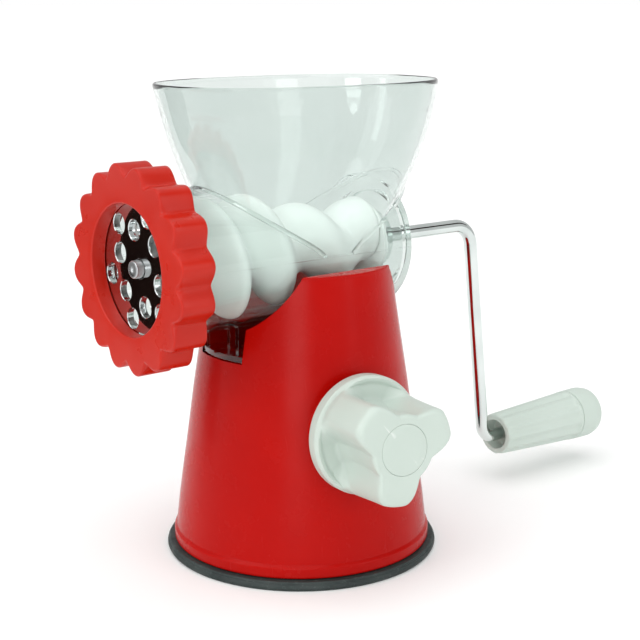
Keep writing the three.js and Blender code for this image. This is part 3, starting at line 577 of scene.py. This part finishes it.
# a bead where the hopper's walls run down onto the barrel
for end in (-1, 1):
    z = AXIS_Z + 32.5 * np.sin(np.linspace(math.asin((147.5 - AXIS_Z) / 32.5), math.pi - math.asin((147.5 - AXIS_Z) / 32.5), 61))
    x = 32.5 * np.cos(np.linspace(math.asin((147.5 - AXIS_Z) / 32.5), math.pi - math.asin((147.5 - AXIS_Z) / 32.5), 61))
    hb, ha, hc = np.array([smooth_rows(HOPPER, np.array([q]))[0] for q in z]).T
    y = hc + end * hb * (1 - np.minimum(1, np.abs(x) / ha) ** 2.5) ** 0.4
    line = np.stack([x, y, z], -1)
    rows, k = [line[:1]], np.arange(10) * 2 * math.pi / 10
    for i, q in enumerate(line):
        d = line[min(i + 1, 60)] - line[max(i - 1, 0)]
        d /= np.linalg.norm(d)
        out = np.array([q[0], 0, q[2] - AXIS_Z]) / 32.5
        out -= d * (out @ d)
        out /= np.linalg.norm(out)
        rows.append(q + 1.1 * (np.cos(k)[:, None] * out + np.sin(k)[:, None] * np.cross(d, out)))
    rows.append(line[-1:])
    v, f = strip(rows)
    boolean(head, build("saddle", v, f), "UNION")
inner = oval("cut_inner", [(147.0, 2.4), (209.6, 2.3), (212.2, 2.0), (222.4, 1.9), (223.6, 1.55), (224.3, 0.95)], 147, 227)
boolean(inner, revolve("keep_rear", [(0, 38), (32.5, 38), (32.5, 60), (0, 60)], 160, place_y()))
boolean(head, inner)
boolean(head, revolve("bore", [(0, -86), (29.4, -86), (29.4, 38), (0, 38)], 144, place_y()))
boolean(head, revolve("plate_seat", [(0, -90.5), (31.35, -90.5), (31.35, -84.5), (0, -84.5)], 144, place_y()))
boolean(head, revolve("hub_bore", [(0, 30), (10.35, 30), (10.35, 60), (0, 60)], 64, place_y()))
boolean(head, revolve("collar_groove", rounded([(14, 43.6, 0.4), (23.6, 43.6, 0.4), (23.6, 60), (14, 60)], True), 128, place_y(), closed=True))
boolean(head, box_mesh("key", -2, 2, -87.2, -84.3, AXIS_Z - 32.6, AXIS_Z - 29.2, 0.2), "UNION")
tidy(head, 32)
give(head, CLEAR, "clear_plastic", "head", "hopper_barrel")

washer = revolve("thrust_ring", rounded([(10.5, 36, 0.2), (19, 36, 0.4), (19, 37.6, 0.2), (10.5, 37.6, 0.2)], True, 4), 96, place_y(), closed=True)
give(washer, AUGER, "white_plastic", "head", "thrust_washer")

# ---------------------------------------------------------------- ring nut
n_r = seg(16 * 24)
ang = np.arange(n_r) * 2 * math.pi / n_r
c = 0.5 + 0.5 * np.cos(16 * (ang - math.radians(8.75)))
R = 42.2 + 4.3 * c**0.75
scoop = (1 - c) ** 3
rows = []
front, back = -95.7, -79.0


def ring_row(r, y):
    return np.stack([r * np.cos(ang), np.broadcast_to(y, ang.shape), AXIS_Z + r * np.sin(ang)], -1)


for r, y in rounded([(36.4, -79.0), (36.4, -88.6, 0.5), (31.0, -88.6), (29.2, -88.6, 0.4), (29.2, -95.7, 0.8), (33.0, -95.7)], n=5):
    rows.append(ring_row(np.full(n_r, r), y))
rows.append(ring_row(np.full(n_r, 36.5), front))
ch_r, ch_y = 0.9 + 1.0 * scoop, 0.9 + 1.6 * scoop
rows.append(ring_row(R - ch_r - 0.5, front))
for k in range(7):
    t = math.pi / 2 * k / 6
    bulge = 1 - scoop * 0.55
    rows.append(ring_row(R - ch_r * (1 - math.sin(t) * bulge - (t / (math.pi / 2)) * (1 - bulge)), front + ch_y * ((1 - math.cos(t)) * bulge + (t / (math.pi / 2)) * (1 - bulge))))
for q in (0.3, 0.6, 0.85):
    rows.append(ring_row(R + 0.0, (front + ch_y) * (1 - q) + (back - 1.0) * q))
for k in range(5):
    t = math.pi / 2 * k / 4
    rows.append(ring_row(R - 1.0 * (1 - math.cos(t)), back - 1.0 + 1.0 * math.sin(t)))
rows.append(ring_row(np.full(n_r, 38.0), back))
rows.append(ring_row(np.full(n_r, 36.9), back))
v, f = strip(rows, closed_rows=True)
nut = build("outlet_ring", v, f, 42)
ridge = helix_ridge("ridge", 36.6, -7, -86.9, -81, (2 * math.pi * (-86.9 + 85.8)) / -7 + math.pi, 1.4)
boolean(ridge, revolve("trim", [(33, -88), (37.4, -88), (37.4, -79.5), (33, -79.5)], 96, place_y(), closed=True), "INTERSECT")
boolean(nut, ridge, "UNION")
tidy(nut, 42, weighted=False)
give(nut, RING, "red_ring", "nut", "ring_nut")

# ---------------------------------------------------------------- plate
plate = revolve("outlet_plate", rounded([(4.4, -88.3, 0.25), (31, -88.3, 0.35), (31, -84.8, 0.3), (4.4, -84.8, 0.25)], True, 3), 144, place_y(), closed=True)
for r, phase in ((17, -17), (24.3, 13)):
    for k in range(6):
        a = math.radians(phase + 60 * k)
        cx, cz = r * math.cos(a), AXIS_Z + r * math.sin(a)
        put = lambda p, q, h, cx=cx, cz=cz: np.stack([cx + p, h, cz + q], -1)
        boolean(plate, revolve("hole", [(0, -89.3), (6.0, -89.3), (4.7, -88.0), (4.7, -85.1), (5.9, -84.0), (0, -84.0)], 48, put))
boolean(plate, box_mesh("notch", -2.4, 2.4, -92, -80, AXIS_Z - 33, AXIS_Z - 28.8))
tidy(plate, 30)
give(plate, PLATE, "plate_steel", "plate", "grinding_plate")

# ---------------------------------------------------------------- crank assembly
n_a, front, back = seg(112), -79.7, 35.6
t = np.arange(n_a) * 2 * math.pi / n_a
rows = [np.array([[0, -67.8, AXIS_Z]])]
rows.append(np.stack([5.6 * np.cos(t), np.full(n_a, -67.8), AXIS_Z + 5.6 * np.sin(t)], -1))
rows.append(np.stack([5.6 * np.cos(t), np.full(n_a, front), AXIS_Z + 5.6 * np.sin(t)], -1))
ys = np.linspace(front, back, seg(264) + 1)
for i, y in enumerate(ys):
    s = (y - front) / (back - front)
    g = min(1.0, max(0.0, (y + 34) / 30))
    crest = 28.2 - 6.8 * g * g * (3 - 2 * g)
    turns = -0.1945 + 0.02931 * y - 0.0001136 * y * y
    core = 10.5 + 3 * (1 - s)
    r = core + (crest - core) * (0.5 + 0.5 * np.cos(t + 2 * math.pi * turns)) ** 0.8
    edge = min(1.0, min(y - front, back - y) / 1.2)
    r = r - 0.9 * (1 - math.sqrt(max(0.0, 1 - (1 - edge) ** 2)))
    rows.append(np.stack([r * np.cos(t), np.full(n_a, y), AXIS_Z + r * np.sin(t)], -1))
for r, y in rounded([(10.4, back), (10.0, back, 0.2), (10.0, 45.0, 0.6), (4.2, 45.0), (4.2, 43.0), (0, 43.0)], n=4):
    rows.append(np.array([[0, y, AXIS_Z]]) if r < 1e-6 else np.stack([r * np.cos(t), np.full(n_a, y), AXIS_Z + r * np.sin(t)], -1))
v, f = strip(rows)
auger = build("feed_screw", v, f, 50)
give(auger, AUGER, "white_plastic", "crank", "auger")

pin = revolve("outlet_stud", rounded([(0, -91.3), (0.9, -91.3), (1.3, -92.0, 0.2), (4.0, -92.0, 0.7), (4.0, -84.6), (5.4, -84.4), (5.4, -68.2), (0, -68.2)], n=4), 64, place_y())
give(pin, STEEL, "screw_steel", "crank", "auger_drive_pin")

arm = []
for k in range(4):
    a = k * math.pi / 2 + 0.35
    for r, d in [(8.5, -0.5), (12, -0.36), (16, -0.28), (21, -0.23), (26.7, -0.2), (27.3, -0.12), (27.5, -0.02), (26.5, 0.06), (20, 0.09), (14, 0.14), (11, 0.24), (9, 0.4)]:
        arm.append((r * math.cos(a + d), AXIS_Z + r * math.sin(a + d)))
blade = prism_y("cross_knife", arm, -84.5, -80.1)
bev = blade.modifiers.new("edge", "BEVEL")
bev.width, bev.segments, bev.limit_method, bev.angle_limit = 0.0003, 2, "ANGLE", math.radians(50)
give(blade, PLATE, "plate_steel", "crank", "cross_blade")


def corner(path, a, b, c, radius, n=14):
    u, v = (a - b) / np.linalg.norm(a - b), (c - b) / np.linalg.norm(c - b)
    half = math.acos(float(u @ v)) / 2
    centre = b + (u + v) / np.linalg.norm(u + v) * radius / math.sin(half)
    p0, p1 = b + u * radius / math.tan(half) - centre, b + v * radius / math.tan(half) - centre
    full = math.acos(float(p0 @ p1) / radius**2)
    for i in range(n + 1):
        w = i / n
        path.append(centre + (math.sin((1 - w) * full) * p0 + math.sin(w * full) * p1) / math.sin(full))


P = lambda y, z: np.array([0.0, y, z])
path = [P(4.0, AXIS_Z), P(44.0, AXIS_Z)]
corner(path, P(44.0, AXIS_Z), P(110.9, AXIS_Z), P(125.3, 27), 12)
corner(path, P(110.9, AXIS_Z), P(125.3, 27), P(204, 27), 8)
path.append(P(203.4, 27))
path.append(P(204, 27))
path = np.array(path)
n_s = seg(48)
t = np.arange(n_s) * 2 * math.pi / n_s
rows = [path[:1]]
for i, q in enumerate(path):
    d = path[min(i + 1, len(path) - 1)] - path[max(i - 1, 0)]
    d /= np.linalg.norm(d)
    side = np.array([1.0, 0, 0])
    up = np.cross(side, d)
    r = 2.8 if i == len(path) - 1 else 3.4
    rows.append(q + r * (np.cos(t)[:, None] * side + np.sin(t)[:, None] * up))
rows.append(path[-1:])
v, f = strip(rows)
rod = build("crank_bar", v, f, 40)
give(rod, CHROME, "crank_chrome", "crank", "crank_rod")

# grip: twelve soft flutes that run out before both ends, and a socket round the rod
n_g = seg(12 * 20)
t = np.arange(n_g) * 2 * math.pi / n_g
flute = 0.5 - 0.5 * np.cos(12 * t)
rows = []


def grip_row(r, y):
    return np.stack([r * np.cos(t), np.full(n_g, y), 27 + r * np.sin(t)], -1)


for r, y in [(3.75, 192.4), (3.75, 142.5)] + rounded([(3.75, 142.5), (8.0, 142.5, 0.6), (8.0, 134.5, 0.7), (9.3, 134.5)], n=4)[1:]:
    rows.append(grip_row(np.full(n_g, r), y))
for k in range(6):
    a = math.pi / 2 * k / 5
    rows.append(grip_row(11.3 - 1.5 * (1 - math.sin(a)) - 1.15 * flute * (k / 5) ** 2 * 0.6, 134.5 + 1.5 * (1 - math.cos(a))))
for y in np.linspace(137.0, 190.6, 28):
    s = (y - 134.5) / 58.2
    fade = min(1.0, 0.6 + (y - 137.0) / 6.0, max(0.0, (191.2 - y) / 3.0) ** 0.5)
    rows.append(grip_row(11.3 + 2.7 * s - 1.15 * fade * flute**0.85, y))
for r, y in rounded([(14.0, 191.0), (14.0, 192.7, 0.35), (3.75, 192.7), (3.75, 192.5)], n=4):
    rows.append(grip_row(np.full(n_g, r), y))
v, f = strip(rows, closed_rows=True)
grip = build("fluted_grip", v, f, 45)
give(grip, WHITE, "white_plastic", "grip", "crank_grip")
end = revolve("grip_end", rounded([(9, 193), (14.1, 193, 0.4), (14.3, 204, 8), (13.2, 208.6, 4), (10.2, 211.1, 4), (4, 212, 4), (0, 212), (0, 207.5), (8, 206.5), (9, 205), (9, 193.4)], n=6)[:-1], 120, place_y(27), closed=False)
give(end, WHITE, "white_plastic", "grip", "grip_end_cap")

# ---------------------------------------------------------------- return spring, built at one fixed length; the real one shortens as the puller rises
t = np.linspace(0, 1, seg(180) + 1)
h = 7 + 21.8 * t
turn = 2 * math.pi * (h - 7) / 4.4
line = np.stack([8.9 * np.cos(turn), 8.9 * np.sin(turn), h], -1)
k = np.arange(10) * 2 * math.pi / 10
rows = [line[:1]]
for a, q in zip(turn, line):
    out, along = np.array([math.cos(a), math.sin(a), 0.0]), np.array([-math.sin(a), math.cos(a), 4.4 / (2 * math.pi * 8.9)])
    along /= np.linalg.norm(along)
    rows.append(q + 1.05 * (np.cos(k)[:, None] * out + np.sin(k)[:, None] * np.cross(out, along)))
rows.append(line[-1:])
v, f = strip(rows)
spring = build("spring_wire", v, f, 60)
give(spring, STEEL, "screw_steel", "base", "return_spring")
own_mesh(spring)

# ---------------------------------------------------------------- CAD nodes that stay, with their materials
for names, mat in (
    (("bottom_frame", "pressure_disc"), BLACK),
    (("base_screw_1", "base_screw_2", "base_screw_3", "base_screw_4", "cam_shaft", "shaft_clip", "knob_screw", "grip_push_nut"), STEEL),
    (("pull_rod", "shaft_bush"), ACETAL),
):
    for name in names:
        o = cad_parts[name]
        o.data.materials.clear()
        o.data.materials.append(mat)

# ---------------------------------------------------------------- floor, light, camera
floor_mat = Mat("pale_floor")
floor_mat.set(
    Base_Color=floor_mat.mix(floor_mat.remap(floor_mat.noise(3.0, 3.0), 0.0, 1.0), srgb(252, 252, 252), srgb(249, 250, 249)),
    Roughness=floor_mat.remap(floor_mat.noise(40.0, 4.0), 0.6, 0.75),
    Specular_IOR_Level=0.2,
)
me = bpy.data.meshes.new("floor")
me.from_pydata([(-60, -60, 0), (60, -60, 0), (60, 60, 0), (-60, 60, 0)], [], [(0, 1, 2, 3)])
floor = bpy.data.objects.new("floor", me)
bpy.context.scene.collection.objects.link(floor)
me.materials.append(floor_mat.m)

world = bpy.data.worlds.new("studio")
bpy.context.scene.world = world
world.use_nodes = True
wt = world.node_tree
bg = wt.nodes["Background"]
bg.inputs["Color"].default_value = (1, 1, 1, 1)
path_node = wt.nodes.new("ShaderNodeLightPath")
seen = wt.nodes.new("ShaderNodeMath")
seen.operation = "MAXIMUM"
wt.links.new(path_node.outputs["Is Camera Ray"], seen.inputs[0])
wt.links.new(path_node.outputs["Is Transmission Ray"], seen.inputs[1])
strength = wt.nodes.new("ShaderNodeMapRange")
strength.inputs["To Min"].default_value = 0.66
strength.inputs["To Max"].default_value = 1.0
wt.links.new(seen.outputs[0], strength.inputs["Value"])
wt.links.new(strength.outputs["Result"], bg.inputs["Strength"])


def sun(name, azimuth, elevation, angle, power):
    """Soft light from far away; azimuth is where it stands, anticlockwise from +X."""
    d = bpy.data.lights.new(name, "SUN")
    d.energy, d.angle = power, math.radians(angle)
    o = bpy.data.objects.new(name, d)
    a, e = math.radians(azimuth), math.radians(elevation)
    back = Vector((math.cos(a) * math.cos(e), math.sin(a) * math.cos(e), math.sin(e)))
    o.rotation_mode = "QUATERNION"
    o.rotation_quaternion = (-back).to_track_quat("-Z", "Y")
    bpy.context.scene.collection.objects.link(o)
    return o


def lamp(name, where, target, size, power, size_y=None):
    d = bpy.data.lights.new(name, "AREA")
    d.shape, d.size, d.size_y, d.energy = "RECTANGLE", size, size_y or size, power
    o = bpy.data.objects.new(name, d)
    o.location = where
    o.rotation_mode = "QUATERNION"
    o.rotation_quaternion = (Vector(target) - Vector(where)).to_track_quat("-Z", "Y")
    bpy.context.scene.collection.objects.link(o)
    return o


# a dark card that only mirrors see, so that the polished plate has something dark to show
card_mat = Mat("dark_card")
card_mat.set(Base_Color=card_mat.mix(card_mat.remap(card_mat.noise(4.0), 0.0, 1.0), srgb(26, 16, 14), srgb(40, 24, 20)), Roughness=0.9, Specular_IOR_Level=0.0)
me = bpy.data.meshes.new("card")
u, w, q = Vector((0.513, -0.859, 0.0)), Vector((-0.176, -0.105, 0.979)), Vector((-0.336, -0.289, 0.053))
me.from_pydata([tuple(q + u * a + w * b) for a, b in ((-0.085, -0.06), (0.085, -0.06), (0.085, 0.09), (-0.085, 0.09))], [], [(0, 1, 2, 3)])
card = bpy.data.objects.new("card", me)
me.materials.append(card_mat.m)
bpy.context.scene.collection.objects.link(card)
card.visible_camera = card.visible_diffuse = card.visible_transmission = card.visible_shadow = card.visible_volume_scatter = False

me = bpy.data.meshes.new("card_rod")
me.from_pydata([(0.30, 0.2, 0.9), (0.62, 0.2, 0.78), (0.62, 2.2, 0.78), (0.30, 2.2, 0.9)], [], [(0, 1, 2, 3)])
card_2 = bpy.data.objects.new("card_rod", me)
me.materials.append(card_mat.m)
bpy.context.scene.collection.objects.link(card_2)
card_2.visible_camera = card_2.visible_diffuse = card_2.visible_transmission = card_2.visible_shadow = card_2.visible_volume_scatter = False

middle = (0.0, 0.0, 0.12)
sun("overhead", -60, 78, 70, 1.15)
sun("camera_side", -42, 10, 25, 0.6)
sun("front_left", -95, 34, 50, 0.55)
sun("right", 10, 30, 50, 0.22)
lamp("strip_left", (-0.15, -1.5, 0.75), middle, 0.35, 2.2, 0.9)
lamp("strip_right", (1.3, 0.55, 0.6), middle, 0.3, 1.4, 0.9)

cam_data = bpy.data.cameras.new("camera")
cam = bpy.data.objects.new("camera", cam_data)
bpy.context.scene.collection.objects.link(cam)
cam_data.sensor_width = 36
cam_data.lens = 78.03
cam_data.clip_start, cam_data.clip_end = 0.01, 200
cam.location = (0.5137, -0.3949, 0.2602)
cam.rotation_mode = "QUATERNION"
cam.rotation_quaternion = Vector((-0.7640, 0.6048, -0.2246)).to_track_quat("-Z", "Y")
bpy.context.scene.camera = cam

bpy.context.scene.view_settings.view_transform = "Standard"
bpy.context.scene.view_settings.look = "None"
